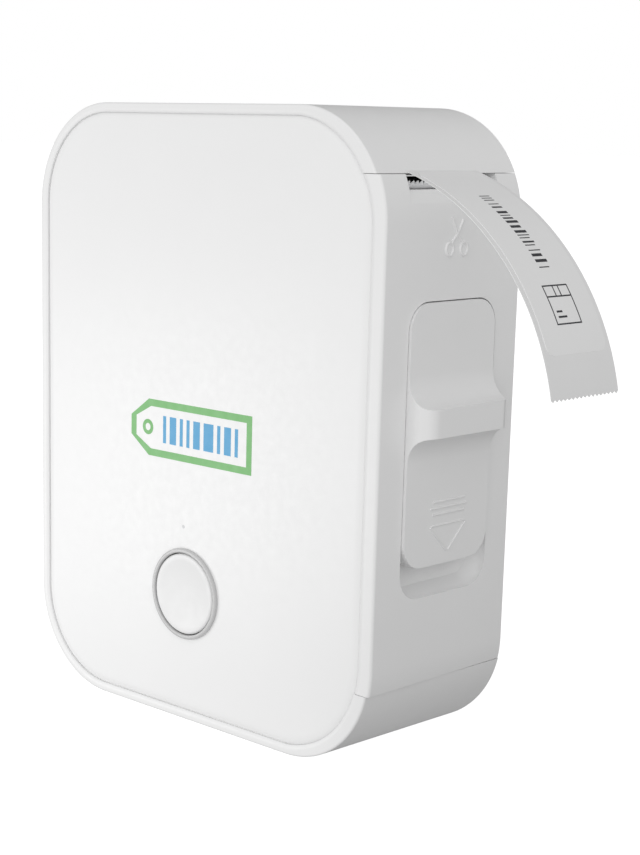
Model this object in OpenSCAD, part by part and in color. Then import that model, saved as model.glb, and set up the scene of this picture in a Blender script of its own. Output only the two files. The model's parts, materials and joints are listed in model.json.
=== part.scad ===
// Handheld thermal label printer: a flat upright case that prints on a narrow roll of labels.
// Axes: +X towards the side where the label comes out, +Y towards the rear, +Z up.
// The origin is on the flat underside, below the middle of the case.

/* [Case] */
// Distance from the middle of the case to its left wall
left_w = 38; // [37.5:0.5:40]
// Height of the case
case_h = 98; // [98:0.5:100]
// Depth of the case, front to rear
case_d = 31.4; // [31.4:0.2:33]
// Radius of the case's four big corners
corner_r = 16.5; // [15.5:0.5:17]
// Thickness of the case walls
wall = 1.4; // [1.2:0.1:1.5]
// How far the side panel stands proud of the case
panel_proud = 0.5; // [0.3:0.1:0.8]

/* [Latch] */
// Height of the latch plate's lower edge
latch_z0 = 31.2; // [30.8:0.1:31.6]
// Height of the latch plate's upper edge
latch_z1 = 70.4; // [70:0.1:70.6]
// How far the latch slides down
latch_travel = 4; // [2:0.5:4]
// How far the thumb ridge stands out of the side panel
ridge_out = 4; // [2:0.5:5]

/* [Power button] */
// Radius of the button's disc
button_r = 6.6; // [5.5:0.1:6.6]
// How far the button travels
button_travel = 0.5; // [0.2:0.1:0.5]

/* [Label] */
// Width of the label tape
tape_w = 16; // [12:1:16]
// Outer radius of a full roll of labels
roll_r = 19.8; // [12:0.2:19.8]
// Radius of the bend in the strip that hangs out of the slot
strip_r = 39; // [30:1:45]

/* [Print mechanism] */
// Module of the gear teeth
gear_m = 0.5; // [0.45:0.01:0.5]
// Radius of the rubber platen
platen_r = 4; // [3.8:0.1:4]

/* [Hidden] */
$fn = 96;
eps = 0.01;
gap = 0.3;

// Case
front_y = -case_d / 2;
rear_y = case_d / 2;
right_w = left_w - panel_proud;
flange_t = 2;
flange_y = rear_y - flange_t;
seam_top = 88.6;
seam_bottom = 13;
seam_gap = 0.15;
panel_t = 1.5;
panel_inset = 0.3;
panel_back = front_y + panel_inset + panel_t;
lip_x = right_w - 2.25;
post_xz = [[-24, 4.3], [24, 4.3], [-12, case_h - 3.6], [12, case_h - 3.6]];
post_r = 1.9;
screw_r = 0.8;

// Rear cover and its hinge
cover_x0 = -31;
cover_x1 = 33.5;
cover_z0 = 7;
cover_z1 = case_h - 7;
cover_r = 8;
hinge_x = cover_x0 + 1.25;
hinge_y = rear_y - flange_t / 2;
hinge_pin_r = 0.55;
run_fit = 0.05;

// Slot for the label
slot_y0 = -10;
slot_y1 = 10.6;
slot_floor = 86.4;
blade_screw_y = [-7.8, 6.5];

// Latch pocket in the side panel
latch_y0 = -9.8;
latch_y1 = 9.7;
pocket_floor = 36;
pocket_z0 = 26.5;
stem_z0 = 47;
stem_z1 = 56;
pawl_top = 58;

// Button
button_x = -2;
button_z = 20.95;
light_x = -2.6;
light_z = 31.9;

// Board and chassis plate
board_y0 = -12.2;
board_t = 1;
board_y1 = board_y0 + board_t;
chassis_y0 = -10.8;
chassis_t = 1;
chassis_y1 = chassis_y0 + chassis_t;
board_screw_xz = [[-29, 11], [27, 11], [-29, 57], [27, 57]];
chassis_screw_xz = [[-33.6, 14.5], [31.5, 16], [-33.6, 82], [31.5, 68]];
wing_screw = chassis_screw_xz[3];
usb_z = 24;
usb_y = -9.1;

// Label path
tape_y0 = -9.5;
tape_y1 = tape_y0 + tape_w;
liner_t = 0.1;
tape_t = 0.2;
roll_x = 2;
roll_z = 47;
spindle_r = 6.5;
core_r = 7.6;
nip_x = 28.5;
nip_z = 88.3;
guide_x = 12;
guide_r = 2.2;
guide_z = nip_z - guide_r;
strip_a0 = 17;
strip_a1 = 78;
strip_x0 = 36.2;
strip_z0 = 88.3;
strip_cx = strip_x0 - strip_r * sin(strip_a0);
strip_cz = strip_z0 - strip_r * cos(strip_a0);
exit_a = asin((36 - strip_cx) / strip_r);

// Gear train: centres, tooth counts and phases at rest
platen_x = nip_x;
platen_z = nip_z - platen_r;
motor_x = 15;
motor_z = 74.5;
pinion_n = 10;
wheel_n = 20;
gear_y0 = -13.3;
gear_t = 2;
centre_slack = 0.05;
pinion_idler_d = gear_m * (pinion_n + wheel_n) / 2 + centre_slack;
idler_platen_d = gear_m * wheel_n + centre_slack;
train_d = norm([platen_x - motor_x, platen_z - motor_z]);
train_a = atan2(platen_z - motor_z, platen_x - motor_x);
idler_a = train_a + acos((pow(pinion_idler_d, 2) + pow(train_d, 2) - pow(idler_platen_d, 2))
                         / (2 * pinion_idler_d * train_d));
idler_x = motor_x + pinion_idler_d * cos(idler_a);
idler_z = motor_z + pinion_idler_d * sin(idler_a);
wheel_a = atan2(platen_z - idler_z, platen_x - idler_x);
pinion_phase = idler_a;
idler_phase = mesh_phase(idler_a, pinion_phase, pinion_n, wheel_n);
platen_phase = mesh_phase(wheel_a, idler_phase, wheel_n, wheel_n);

// Print head
head_x0 = 26;
head_x1 = 31;
head_z0 = nip_z + tape_t + 0.1;
head_t = 1;
sink_z1 = head_z0 + head_t + 1.8;
head_pin_x = 22;
head_pin_z = 91.3;
wing_y1 = 8.6;
wing_t = 0.8;
top_bar_z = 93.3;

// Motor
motor_r = 7.4;
motor_len = 11;

// Battery
cell_x = -28.9;
cell_y = -0.5;
cell_r = 7;
cell_z0 = 20;
cell_z1 = 68;

// Tooth position of a gear with n_b teeth that meshes with one of n_a teeth and phase a
function mesh_phase(dir, a, n_a, n_b) = dir + 180 - 360 / n_b * (0.5 - (dir - a) * n_a / 360);

// Involute of an angle, in degrees
function inv(a) = tan(a) * 180 / PI - a;

// Half the angle that a tooth takes up at radius rho
function half_tooth(n, rho, backlash) = let (
    r = gear_m * n / 2,
    rb = r * cos(20),
    a = rho > rb ? acos(rb / rho) : 0)
    90 / n - backlash / r * 90 / PI + inv(20) - inv(a);

function gear_points(n, backlash = 0.1) = let (
    r = gear_m * n / 2,
    rb = r * cos(20),
    tip = r + 0.7 * gear_m,
    root = r - 0.95 * gear_m,
    start = max(rb, root),
    rhos = concat(root < rb ? [root] : [], [for (k = [0:4]) start + (tip - start) * k / 4]))
    [for (i = [0:n - 1], side = [-1, 1], k = [0:len(rhos) - 1])
        let (
            rho = side < 0 ? rhos[k] : rhos[len(rhos) - 1 - k],
            a = 360 * i / n + side * half_tooth(n, rho, backlash))
        rho * [cos(a), sin(a)]];

// Places a flat shape, drawn in X and Z, between two depths
module along_y(y0, y1) {
    translate([0, y1, 0])
        rotate([90, 0, 0])
            linear_extrude(y1 - y0)
                children();
}

module box(x, y, z) {
    translate([x[0], y[0], z[0]])
        cube([x[1] - x[0], y[1] - y[0], z[1] - z[0]]);
}

module rod_y(x, z, r, y0, y1) {
    translate([x, y1, z])
        rotate([90, 0, 0])
            cylinder(r = r, h = y1 - y0);
}

module rod_x(y, z, r, x0, x1) {
    translate([x0, y, z])
        rotate([0, 90, 0])
            cylinder(r = r, h = x1 - x0);
}

module rod_z(x, y, r, z0, z1) {
    translate([x, y, z0])
        cylinder(r = r, h = z1 - z0);
}

module rounded(x0, z0, x1, z1, r) {
    translate([x0 + r, z0])
        square([x1 - x0 - 2 * r, z1 - z0]);
    translate([x0, z0 + r])
        square([x1 - x0, z1 - z0 - 2 * r]);
    for (x = [x0 + r, x1 - r], z = [z0 + r, z1 - r])
        translate([x, z])
            circle(r = r);
}

function unit(v) = v / norm(v);

// Where a line from p along d meets the plane through at, with normal n
function meet(p, d, at, n) = p + d * ((at - p) * n) / (d * n);

// Rings of a wire after the first, each on the plane that halves the bend there
function later_rings(points, ring, i = 1) = i == len(points) ? [] : let (
    d = unit(points[i] - points[i - 1]),
    n = i + 1 < len(points) ? unit(d + unit(points[i + 1] - points[i])) : d,
    next = [for (p = ring) meet(p, d, points[i], n)])
    concat(next, later_rings(points, next, i + 1));

// Thin insulated wire through a list of points
module wire(points, r) {
    last = len(points) - 1;
    sides = 8;
    d = unit(points[1] - points[0]);
    u = unit(cross(d, [0.6, 0.7, 0.4]));
    v = cross(d, u);
    ring = [for (k = [0:sides - 1])
        points[0] + r * (cos(360 * k / sides) * u + sin(360 * k / sides) * v)];
    walls = [for (i = [0:last - 1], k = [0:sides - 1])
        let (n = (k + 1) % sides)
        [i * sides + k, i * sides + n, (i + 1) * sides + n, (i + 1) * sides + k]];
    caps = [[for (k = [sides - 1:-1:0]) k], [for (k = [0:sides - 1]) last * sides + k]];
    polyhedron(concat(ring, later_rings(points, ring)), faces = concat(walls, caps));
}

module gear(x, z, n, phase, bore_r) {
    difference() {
        translate([x, gear_y0 + gear_t, z])
            rotate([90, 0, 0])
                linear_extrude(gear_t)
                    rotate(phase)
                        polygon(gear_points(n));
        rod_y(x, z, bore_r, gear_y0 - 1, gear_y0 + gear_t + 1);
    }
}

// Pan-head screw along Y with its head at the rear
module screw_y(x, z, y_head, length, head_r) {
    difference() {
        union() {
            rod_y(x, z, head_r, y_head, y_head + 0.9);
            rod_y(x, z, screw_r, y_head - length, y_head + eps);
        }
        for (a = [0, 90])
            translate([x, y_head + 0.9, z])
                rotate([0, a, 0])
                    cube([head_r * 1.3, 0.9, 0.35], center = true);
    }
}

// Case outline, with panel_proud or less as grow
module case_outline(grow = 0) {
    rounded(-left_w - grow, -grow, right_w + grow, case_h + grow, corner_r + grow);
}

module cavity_outline() {
    rounded(-left_w + wall, wall, right_w - wall, case_h - wall, corner_r - wall);
}

// Front panel outline: its corners are wider beside the side panel
module panel_outline(clear = 0) {
    intersection() {
        rounded(-left_w + wall + clear, wall + clear, left_w + 20, case_h - wall - clear,
                corner_r - wall - 0.2);
        rounded(-left_w - 20, wall + clear, lip_x - clear, case_h - wall - clear,
                corner_r - wall + 0.6);
    }
}

// Opening in the rear flange: square at the hinge, round at the latch
module cover_outline(clear = 0) {
    intersection() {
        rounded(cover_x0 - 20, cover_z0 + clear, cover_x1 - clear, cover_z1 - clear, cover_r);
        translate([cover_x0, 0])
            square([100, 200]);
    }
}

module side_band(clear) {
    box([30, left_w + 5], [front_y - 5, rear_y + 5], [seam_bottom + clear, seam_top - clear]);
}

module main_housing() {
    color("whitesmoke")
        difference() {
            along_y(front_y, rear_y)
                case_outline();
            along_y(front_y - 1, panel_back)
                panel_outline();
            along_y(panel_back - eps, flange_y)
                cavity_outline();
            along_y(flange_y - 1, rear_y + 1)
                cover_outline();
            difference() {
                side_band(0);
                along_y(flange_y, rear_y + 10)
                    cavity_outline();
            }
            for (p = post_xz) {
                rod_y(p[0], p[1], screw_r + 0.1, flange_y - 1, rear_y + 1);
                rod_y(p[0], p[1], 2, rear_y - 1.1, rear_y + 1);
            }
            for (z = [cover_z0 - 2.5, cover_z1 - eps])
                rod_z(hinge_x, hinge_y, hinge_pin_r, z, z + 2.5 + eps);
            usb_mouth(-left_w - 1, -left_w + wall + 1);
        }
}

// Rounded mouth for the charging plug, through the left wall
module usb_mouth(x0, x1) {
    for (dz = [-3.1, 3.1])
        rod_x(usb_y, usb_z + dz, 1.7, x0, x1);
    box([x0, x1], [usb_y - 1.7, usb_y + 1.7], [usb_z - 3.1, usb_z + 3.1]);
}

module front_panel() {
    color("white")
        difference() {
            union() {
                along_y(front_y + panel_inset, panel_back)
                    panel_outline(0.05);
                for (p = post_xz)
                    rod_y(p[0], p[1], post_r, panel_back - eps, flange_y);
                for (p = chassis_screw_xz)
                    rod_y(p[0], p[1], 1.9, panel_back - eps, chassis_y0);
            }
            for (p = post_xz)
                rod_y(p[0], p[1], screw_r, flange_y - 9, flange_y + 1);
            for (p = chassis_screw_xz)
                rod_y(p[0], p[1], screw_r, panel_back, chassis_y0 + 1);
            rod_y(button_x, button_z, button_r + 0.85, front_y - 1, panel_back + 1);
            rod_y(light_x, light_z, 0.3, front_y - 1, panel_back + 1);
            rod_y(light_x, light_z, 0.9, panel_back - 0.9, panel_back + 1);
        }
}

module side_panel() {
    color("gainsboro")
        difference() {
            union() {
                intersection() {
                    difference() {
                        along_y(front_y, rear_y)
                            case_outline(panel_proud);
                        along_y(front_y - 1, panel_back)
                            panel_outline();
                        along_y(panel_back - eps, rear_y + 1)
                            cavity_outline();
                    }
                    side_band(seam_gap);
                }
                box([pocket_floor - 1.2, left_w - 0.8], [latch_y0 - 1.5, latch_y1 + 1.5],
                    [pocket_z0 - 1.2, latch_z1 + 1.5]);
                box([pocket_floor - 4.5, pocket_floor - 1], [-3, 3], [34, 35.5]);
            }
            box([33, left_w + 2], [slot_y0, slot_y1], [slot_floor, seam_top + 1]);
            translate([pocket_floor, 0, 0])
                rotate([90, 0, 90])
                    linear_extrude(6)
                        rounded(latch_y0 - gap, pocket_z0, latch_y1 + gap, latch_z1 + gap, 4.2);
            box([30, left_w], [-2.2, 2.2], [stem_z0 - latch_travel - gap, stem_z1 + gap]);
        }
}

module rear_cover() {
    color("whitesmoke")
        difference() {
            union() {
                intersection() {
                    along_y(flange_y, rear_y)
                        cover_outline(gap);
                    box([hinge_x, cover_x1], [0, 20], [0, case_h]);
                }
                rod_z(hinge_x, hinge_y, flange_t / 2, cover_z0 + gap, cover_z1 - gap);
                box([hinge_x + 4, 28], [flange_y - 0.6, flange_y + eps], [cover_z0 + 4, cover_z0 + 5.2]);
                box([hinge_x + 4, 28], [flange_y - 0.6, flange_y + eps], [cover_z1 - 5.2, cover_z1 - 4]);
                box([31.2, 33], [9, flange_y + eps], [pawl_top + 1.2, pawl_top + 2.8]);
                box([31.2, 33], [9, 10.2], [pawl_top + 0.25, pawl_top + 1.2 + eps]);
            }
            for (z = [cover_z0 - 1, cover_z1 - 3.7])
                rod_z(hinge_x, hinge_y, hinge_pin_r + run_fit, z, z + 4.7);
        }
}

module hinge_pins() {
    color("silver") {
        rod_z(hinge_x, hinge_y, hinge_pin_r, cover_z0 - 2.4, cover_z0 + 3.4);
        rod_z(hinge_x, hinge_y, hinge_pin_r, cover_z1 - 3.4, cover_z1 + 2.4);
    }
}

module case_screws() {
    color("dimgray")
        for (p = post_xz)
            screw_y(p[0], p[1], rear_y - 1.05, 9, 1.8);
}

// Side view of the latch plate and its thumb ridge, in X and Z
function sweep(x0, x1, z0, z1) = [for (i = [1:7])
    [x0 + (x1 - x0) * (1 - cos(90 * i / 8)), z0 + (z1 - z0) * sin(90 * i / 8)]];

module latch_profile() {
    skin = left_w + 0.4;
    crest = left_w + ridge_out;
    ridge = [51.2, 55.4];
    polygon(concat(
        [[pocket_floor + gap, latch_z0], [skin + 0.2, latch_z0], [skin + 0.2, 44]],
        [for (p = sweep(skin + 0.2, crest, 44, ridge[0])) p],
        [[crest, ridge[0]], [crest, ridge[1]]],
        [for (i = [1:7]) let (t = 90 * i / 8)
            [crest - (crest - skin) * sin(t), ridge[1] + 6.5 * (1 - cos(t))]],
        [[skin, ridge[1] + 6.5], [skin, latch_z1], [pocket_floor + gap, latch_z1]]));
}

module slide_latch() {
    color("gainsboro")
        difference() {
            union() {
                intersection() {
                    along_y(latch_y0, latch_y1)
                        latch_profile();
                    translate([pocket_floor, 0, 0])
                        rotate([90, 0, 90])
                            linear_extrude(10)
                                rounded(latch_y0, latch_z0, latch_y1, latch_z1, 4);
                }
                box([pocket_floor - 1.5, pocket_floor + gap + eps], [-1.9, 1.9], [stem_z0, stem_z1]);
            }
            for (z = [49, 54])
                rod_x(0, z, screw_r, pocket_floor - 2, pocket_floor + 1.6);
        }
}

module latch_bar() {
    bar_x = [pocket_floor - 3.3, pocket_floor - 1.5];
    color("lightgray")
        difference() {
            union() {
                box(bar_x, [-4, 9.5], [45, 56.5]);
                box([31.4, bar_x[1]], [9.5 - eps, 12.9], [52, 56.5]);
                box([31.4, 32.8], [11.6, 12.9], [56.5 - eps, pawl_top]);
                rod_z(33.1, 0, 0.6, 43.6, 45 + eps);
            }
            for (z = [49, 54])
                rod_x(0, z, screw_r + 0.1, 30, pocket_floor);
        }
}

module latch_screws() {
    color("dimgray")
        for (z = [49, 54])
            difference() {
                union() {
                    rod_x(0, z, 1.7, pocket_floor - 4.1, pocket_floor - 3.3);
                    rod_x(0, z, screw_r, pocket_floor - 3.3 - eps, pocket_floor + 1.4);
                }
                box([pocket_floor - 5, pocket_floor - 3.8], [-1.1, 1.1], [z - 0.2, z + 0.2]);
            }
}

// Coil spring drawn as stacked rings, from the side panel's shelf to the latch bar
module latch_spring() {
    color("silver")
        for (i = [0:6])
            translate([33.1, 0, 35.75 + 0.25 + 1.42 * i])
                rotate_extrude()
                    translate([1.15, 0])
                        circle(r = 0.22, $fn = 16);
}

module cutter_blade() {
    teeth = 20;
    y0 = slot_y0 + 0.9;
    pitch = (slot_y1 - 0.9 - y0) / teeth;
    color("silver")
        difference() {
            translate([0, 0, 87.2])
                linear_extrude(0.4) {
                    translate([33, y0])
                        square([2.5, pitch * teeth]);
                    for (i = [0:teeth - 1])
                        translate([35.49, y0 + pitch * i])
                            polygon([[0, 0], [0.85, pitch / 2], [0, pitch]]);
                }
            for (y = blade_screw_y)
                rod_z(33.9, y, 0.55, 86, 89);
        }
}

module cutter_screws() {
    color("dimgray")
        for (y = blade_screw_y) {
            rod_z(33.9, y, 0.5, 86.3, 87.65);
            rod_z(33.9, y, 0.85, 87.6, 87.95);
        }
}

module power_button() {
    color("lightgray")
        difference() {
            union() {
                rod_y(button_x, button_z, button_r, front_y - 0.15, front_y + 1.05);
                rod_y(button_x, button_z, 1.6, front_y + 1, board_y0 - 2);
            }
            translate([button_x, front_y - 60.05, button_z])
                sphere(r = 60, $fn = 180);
        }
}

module button_ring() {
    color("darkgray")
        difference() {
            union() {
                rod_y(button_x, button_z, button_r + 0.85, front_y - 0.3, panel_back);
            }
            rod_y(button_x, button_z, button_r + 0.15, front_y - 1, panel_back + 1);
        }
}

module status_light_pipe() {
    color("white") {
        rod_y(light_x, light_z, 0.28, front_y + panel_inset, panel_back - 0.9);
        rod_y(light_x, light_z, 0.85, panel_back - 0.9, board_y0 - 0.9);
        box([light_x - 0.9, light_x + 0.9], [board_y0 - 0.9, board_y0], [light_z - 0.5, light_z + 0.5]);
    }
}

module switch_body() {
    color("dimgray")
        difference() {
            box([button_x - 2.6, button_x + 2.6], [board_y0 - 1.1, board_y0], [button_z - 2.6, button_z + 2.6]);
            rod_y(button_x, button_z, 1.25, board_y0 - 2, board_y0 - 0.1);
        }
}

module switch_plunger() {
    color("black")
        rod_y(button_x, button_z, 1.2, board_y0 - 1.95, board_y0 - 0.65);
}

module chassis_plate() {
    color("lightgray")
        difference() {
            union() {
                intersection() {
                    along_y(chassis_y0, chassis_y1)
                        difference() {
                            rounded(-left_w + wall + gap, cover_z0 + 0.6, right_w - wall - gap,
                                    case_h - wall - 4, corner_r - wall);
                            translate([5.2, 65.7])
                                square([40, 40]);
                            translate([-20.6, 49])
                                square([2.8, 8]);
                            translate([-40, usb_z - 5.2])
                                square([12, 10.4]);
                            for (p = post_xz)
                                translate(p)
                                    circle(r = post_r + gap);
                            translate([34.4, pocket_z0 - 1.6])
                                square([5, 50]);
                        }
                    along_y(chassis_y0, chassis_y1)
                        cavity_outline();
                }
                for (p = board_screw_xz)
                    rod_y(p[0], p[1], 1.6, board_y1, chassis_y0 + eps);
            }
            for (p = board_screw_xz)
                rod_y(p[0], p[1], 0.6, board_y1 - 1, chassis_y1 + 1);
            for (p = chassis_screw_xz)
                rod_y(p[0], p[1], screw_r + 0.1, board_y1 - 1, chassis_y1 + 1);
            rod_y(roll_x, roll_z, 3, board_y1 - 1, chassis_y1 + 1);
            for (p = [[-20.6, 59], [-19.6, 22]])
                rod_y(p[0], p[1], 0.8, board_y1 - 1, chassis_y1 + 1);
            box([19.8, 25], [board_y1 - 1, chassis_y1 + 1], [57.6, 59]);
        }
}

module chassis_screws() {
    color("dimgray")
        for (p = chassis_screw_xz)
            screw_y(p[0], p[1], chassis_y1, 3.6, 1.7);
}

module main_board() {
    color("seagreen")
        difference() {
            along_y(board_y0, board_y1)
                rounded(-35, 8.6, 29.5, 60, 2);
            for (p = board_screw_xz)
                rod_y(p[0], p[1], 0.8, board_y0 - 1, board_y1 + 1);
            rod_y(chassis_screw_xz[0][0], chassis_screw_xz[0][1], 2.3, board_y0 - 1, board_y1 + 1);
        }
}

module board_components() {
    front = board_y0;
    color("dimgray") {
        box([8, 17], [front - 1, front], [30, 39]);
        box([-20, -8], [front - 1.2, front], [41, 55]);
        box([12, 18], [front - 0.9, front], [47, 51]);
        box([-24, -20], [front - 0.9, front], [20, 24]);
        box([20, 24], [front - 1.2, front], [20, 24]);
        for (i = [0:5])
            box([-2 + 3 * i, -0.6 + 3 * i], [front - 0.6, front], [43, 43.8]);
        for (i = [0:4])
            box([-26, -25.2], [front - 0.6, front], [30 + 2.4 * i, 31.5 + 2.4 * i]);
        for (p = board_screw_xz) {
            rod_y(p[0], p[1], 0.6, board_y0 - 0.1, chassis_y0);
            rod_y(p[0], p[1], 1.4, board_y0 - 0.7, board_y0);
        }
    }
}

module usb_port() {
    color("silver")
        difference() {
            union() {
                for (dz = [-2.9, 2.9])
                    rod_x(usb_y, usb_z + dz, 1.6, -37.4, -30.4);
                box([-37.4, -30.4], [usb_y - 1.6, usb_y + 1.6], [usb_z - 2.9, usb_z + 2.9]);
                box([-33.5, -31], [board_y1, usb_y], [usb_z - 3.8, usb_z + 3.8]);
            }
            for (dz = [-2.9, 2.9])
                rod_x(usb_y, usb_z + dz, 1.3, -38, -31.4);
            box([-38, -31.4], [usb_y - 1.3, usb_y + 1.3], [usb_z - 2.9, usb_z + 2.9]);
        }
    color("black")
        box([-36.6, -31.39], [usb_y - 0.35, usb_y + 0.35], [usb_z - 3, usb_z + 3]);
}

module head_connector() {
    color("ivory")
        difference() {
            box([-20.4, -18.1], [board_y1, chassis_y1 - 0.1], [49.2, 56.8]);
            box([-19.45, -19.05], [board_y1 + 0.3, 0], [49.8, 56.2]);
        }
}

module battery_cell() {
    color("steelblue") {
        rod_z(cell_x, cell_y, cell_r, cell_z0, cell_z1 - 1);
        rod_z(cell_x, cell_y, 2.6, cell_z1 - 1, cell_z1);
    }
}

module battery_cradle() {
    color("lightgray")
        difference() {
            union() {
                box([-36.2, -21.7], [chassis_y1, -3.6], [cell_z0 - 2, cell_z1 + 2]);
                box([-36.2, -21.7], [-3.7, 4], [cell_z0 - 2, cell_z0 - 0.6]);
                box([-36.2, -21.7], [-3.7, 4], [cell_z1 + 0.6, cell_z1 + 2]);
            }
            rod_z(cell_x, cell_y, cell_r + 0.1, cell_z0 - 0.6, cell_z1 + 0.6);
            rod_z(cell_x, cell_y, 2, cell_z0 - 3, cell_z1 + 3);
            box([-40, -29.5], [-12, -6.8], [usb_z - 5.6, usb_z + 5.6]);
        }
}

module battery_leads() {
    lead_y = -8.9;
    color("red")
        wire([[cell_x + 1, cell_y, cell_z1 + 0.2], [cell_x + 1, cell_y, cell_z1 + 3.4],
              [cell_x + 1.8, cell_y - 0.6, cell_z1 + 4.2], [-21.4, -6, cell_z1 + 4.2],
              [-20.7, -7.6, cell_z1 + 3], [-20.6, lead_y, 66], [-20.6, lead_y, 59.8],
              [-20.6, lead_y - 0.7, 59], [-20.6, board_y1, 59]], 0.45);
    color("black")
        wire([[cell_x + 1, cell_y, cell_z0 - 0.2], [cell_x + 1, cell_y, cell_z0 - 3.4],
              [cell_x + 1.8, cell_y - 0.6, cell_z0 - 4.2], [-20.4, -6, cell_z0 - 4.2],
              [-19.7, -7.6, cell_z0 - 3], [-19.6, lead_y, 19], [-19.6, lead_y, 21.2],
              [-19.6, lead_y - 0.7, 22], [-19.6, board_y1, 22]], 0.45);
}

// Side plates of the print mechanism, as flat shapes in X and Z
module front_wing() {
    intersection() {
        rounded(5.6, 66, 40, 95, 1);
        rounded(-left_w + wall + gap, wall + gap, right_w - wall - gap, case_h - wall - gap,
                corner_r - wall - gap);
        difference() {
            square([34.2, 100]);
            translate([0, seam_top - 0.9])
                square([18, 20]);
            translate([32.9, 87.2])
                square([5, 5]);
        }
    }
}

module rear_wing() {
    intersection() {
        front_wing();
        translate([11, 78])
            square([30, 30]);
    }
}

module mechanism_frame() {
    color("silver")
        difference() {
            union() {
                along_y(chassis_y0, chassis_y0 + wing_t)
                    front_wing();
                along_y(wing_y1 - wing_t, wing_y1)
                    rear_wing();
                box([24.6, 33], [chassis_y0, wing_y1], [78, 78.8]);
                box([32.8, 34.2], [chassis_y0, wing_y1], [86.2, 87.2]);
                box([24, 28.8], [chassis_y0, wing_y1], [top_bar_z, top_bar_z + 0.7]);
                rod_y(wing_screw[0], wing_screw[1], 1.9, chassis_y0, chassis_y1);
            }
            rod_y(wing_screw[0], wing_screw[1], screw_r + 0.1, chassis_y0 - 1, chassis_y1 + 1);
            rod_y(motor_x, motor_z, 2.1, chassis_y0 - 1, chassis_y1);
            for (dx = [-5.2, 5.2])
                rod_y(motor_x + dx, motor_z, 0.7, chassis_y0 - 1, chassis_y1);
            rod_y(idler_x, idler_z, 1, chassis_y0 - 1, chassis_y1);
            rod_y(platen_x, platen_z, 2.4, chassis_y0 - 1, wing_y1 + 1);
            rod_y(head_pin_x, head_pin_z, 0.75, chassis_y0 - 1, wing_y1 + 1);
            for (y = blade_screw_y)
                rod_z(33.9, y, 0.5, 86, 89);
        }
}

module print_head() {
    color("dimgray")
        box([head_x0, head_x1], [tape_y0 - 0.2, tape_y1 + 0.6], [head_z0, head_z0 + head_t]);
}

module head_heatsink() {
    color("silver")
        difference() {
            union() {
                box([head_pin_x + 2, head_x1], [tape_y0 - 0.2, tape_y1 + 0.6], [head_z0 + head_t, sink_z1]);
                for (y = [tape_y0, tape_y1 - 1.5]) {
                    rod_y(head_pin_x, head_pin_z, 1.4, y, y + 1.5);
                    box([head_pin_x, head_pin_x + 2.1], [y, y + 1.5], [head_pin_z - 1.4, head_pin_z + 0.1]);
                }
            }
            rod_y(head_pin_x, head_pin_z, 0.75 + run_fit, tape_y0 - 1, tape_y1 + 1);
            for (i = [0:2])
                box([25.4 + 1.9 * i, 26.3 + 1.9 * i], [-4, 0.5], [sink_z1 - 0.8, sink_z1 + 1]);
        }
}

module head_springs() {
    n = 4;
    pitch = (top_bar_z - sink_z1 - 0.3) / (n - 1);
    color("silver")
        for (y = [-6.4, 3.4], i = [0:n - 1])
            translate([27.5, y, sink_z1 + 0.15 + pitch * i])
                rotate_extrude()
                    translate([1, 0])
                        circle(r = 0.15, $fn = 16);
}

module head_pivot_pin() {
    color("silver")
        rod_y(head_pin_x, head_pin_z, 0.75, chassis_y0 - 0.3, wing_y1 + 0.3);
}

// Flat flexible circuit: along the top, down the left of the tape, and forward to the board
module head_flex() {
    x0 = -19.3;
    top = 92.2;
    bend = 2;
    t = 0.12;
    color("chocolate") {
        box([x0 + bend, head_pin_x - 2.2], [-9, -3], [top - t, top]);
        translate([x0 + bend, -3, top - bend])
            rotate([90, 0, 0])
                linear_extrude(6)
                    intersection() {
                        difference() {
                            circle(r = bend);
                            circle(r = bend - t);
                        }
                        translate([-bend, 0])
                            square(bend);
                    }
        box([x0, x0 + t], [-9, -3], [50, top - bend]);
        box([x0, x0 + t], [board_y1 + 0.4, -9], [50, 56]);
    }
}

module tape_guide() {
    color("lightgray")
        difference() {
            union() {
                rod_y(guide_x, guide_z - 0.1, guide_r, chassis_y0 + wing_t, wing_y1 - wing_t);
                box([guide_x, 23.2], [chassis_y0 + wing_t, wing_y1 - wing_t], [85.4, 87]);
            }
            rod_y(guide_x, guide_z - 0.1, 0.7, -20, 20);
        }
}

module gap_sensor() {
    color("black")
        box([17, 20.5], [-3.2, 0.4], [87, 87.9]);
}

module platen_rubber() {
    color("dimgray")
        difference() {
            rod_y(platen_x, platen_z, platen_r - 0.05, tape_y0 + 0.1, tape_y1 - 0.1);
            rod_y(platen_x, platen_z, 1.5, -20, 20);
        }
}

module platen_shaft() {
    color("silver")
        rod_y(platen_x, platen_z, 1.5, gear_y0 - 0.2, wing_y1 + 0.4);
}

module platen_bushes() {
    color("ivory")
        for (y = [[chassis_y0 - 0.1, chassis_y0 + wing_t], [wing_y1 - wing_t, wing_y1 + 0.2]])
            difference() {
                rod_y(platen_x, platen_z, 2.4, y[0], y[1]);
                rod_y(platen_x, platen_z, 1.5 + run_fit, -20, 20);
            }
}

module platen_gear() {
    color("ivory")
        gear(platen_x, platen_z, wheel_n, platen_phase, 1.5);
}

module idler_gear() {
    color("ivory")
        gear(idler_x, idler_z, wheel_n, idler_phase, 1 + run_fit);
}

module idler_pin() {
    color("silver") {
        rod_y(idler_x, idler_z, 1, gear_y0 - 0.35, chassis_y0 + wing_t);
        rod_y(idler_x, idler_z, 1.5, gear_y0 - 0.55, gear_y0 - 0.3);
    }
}

module motor_body() {
    back = chassis_y0 + wing_t;
    color("silver")
        difference() {
            rod_y(motor_x, motor_z, motor_r, back, back + motor_len);
            rod_y(motor_x, motor_z, 0.8, back - 1, back + motor_len - 2);
            for (dx = [-5.2, 5.2])
                rod_y(motor_x + dx, motor_z, 0.7, back - 1, back + 2);
        }
}

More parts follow.
